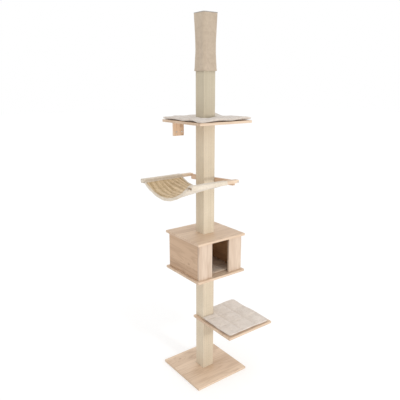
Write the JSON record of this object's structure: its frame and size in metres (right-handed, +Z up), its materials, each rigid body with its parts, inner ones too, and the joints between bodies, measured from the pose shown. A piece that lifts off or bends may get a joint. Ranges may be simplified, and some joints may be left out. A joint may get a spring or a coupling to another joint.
{
  "type": "cat tree",
  "caption": "Tall floor-to-ceiling cat tree: a square sisal post with wooden shelves, a house, a slung hammock and a screw-driven ceiling clamp under a fabric sleeve.",
  "frame": {"origin": "where the post's axis meets the floor, on the underside of the base board", "axes": "+Z up along the post, +X to the right along the front of the house, -Y towards the house's doorway, +Y towards the wall"},
  "size_m": [0.658, 0.6219, 2.438],
  "materials": {
    "board_wood": "clear-oiled solid softwood boards",
    "house_front_wood": "clear-oiled solid softwood, grain upright",
    "house_wall_wood": "clear-oiled solid softwood, grain level",
    "slat_wood": "sanded softwood with rounded edges",
    "block_wood": "raw sawn softwood",
    "sisal": "woven sisal mat glued round the post",
    "quilted_cushion": "short-pile quilted cushion, light warm grey",
    "hammock_plush": "cream plush with a lighter rolled hem",
    "sleeve_plush": "beige plush",
    "felt": "pressed felt",
    "tube_board": "pressed fibre tube",
    "zinc_steel": "zinc plated"
  },
  "bodies": {
    "tree": {"base_board": "board_wood", "base_stud": "zinc_steel", "hammock_fabric": "hammock_plush", "hammock_far_screw": "zinc_steel", "hammock_far_slat": "slat_wood", "hammock_near_screw": "zinc_steel", "hammock_near_slat": "slat_wood", "hammock_post_block": "block_wood", "hammock_post_lower_block": "block_wood", "hammock_post_sisal": "sisal", "hammock_post_tube": "tube_board", "hammock_post_upper_block": "block_wood", "hammock_rail": "slat_wood", "hammock_rail_bolt": "zinc_steel", "house_cushion": "quilted_cushion", "house_floor": "board_wood", "house_floor_bolt": "zinc_steel", "house_front_left_panel": "house_front_wood", "house_front_right_panel": "house_front_wood", "house_left_wall": "house_wall_wood", "house_rear_wall": "house_wall_wood", "house_right_wall": "house_wall_wood", "house_roof": "board_wood", "house_roof_bolt": "zinc_steel", "left_wall_screw": "zinc_steel", "lower_cushion": "quilted_cushion", "lower_post_lower_block": "block_wood", "lower_post_sisal": "sisal", "lower_post_tube": "tube_board", "lower_post_upper_block": "block_wood", "lower_shelf": "board_wood", "lower_shelf_stud": "zinc_steel", "middle_post_lower_block": "block_wood", "middle_post_sisal": "sisal", "middle_post_tube": "tube_board", "middle_post_upper_block": "block_wood", "right_wall_screw": "zinc_steel", "spindle_washer": "zinc_steel", "top_cushion": "quilted_cushion", "top_shelf": "board_wood", "top_shelf_stud": "zinc_steel", "upper_post_lower_block": "block_wood", "upper_post_sisal": "sisal", "upper_post_spindle_block": "block_wood", "upper_post_tube": "tube_board", "wall_bracket": "board_wood"},
    "tensioner": {"ceiling_pad": "felt", "ceiling_board": "board_wood", "fabric_sleeve": "sleeve_plush", "spindle": "zinc_steel"},
    "nut": {"adjusting_nut": "zinc_steel"}
  },
  "joints": [
    {"name": "nut_turn", "type": "hinge", "parent": "tree", "child": "nut", "pos_m": [0, 0, 2.2313], "axis": [0, 0, 1], "range_deg": [-3600, 0]},
    {"name": "tensioner_slide", "type": "slide", "parent": "tree", "child": "tensioner", "axis": [0, 0, 1], "range_m": [0, 0.04]}
  ],
  "couplings": [
    {"joint": "nut_turn", "follows": "tensioner_slide", "rad_per_m": -1570.8}
  ]
}
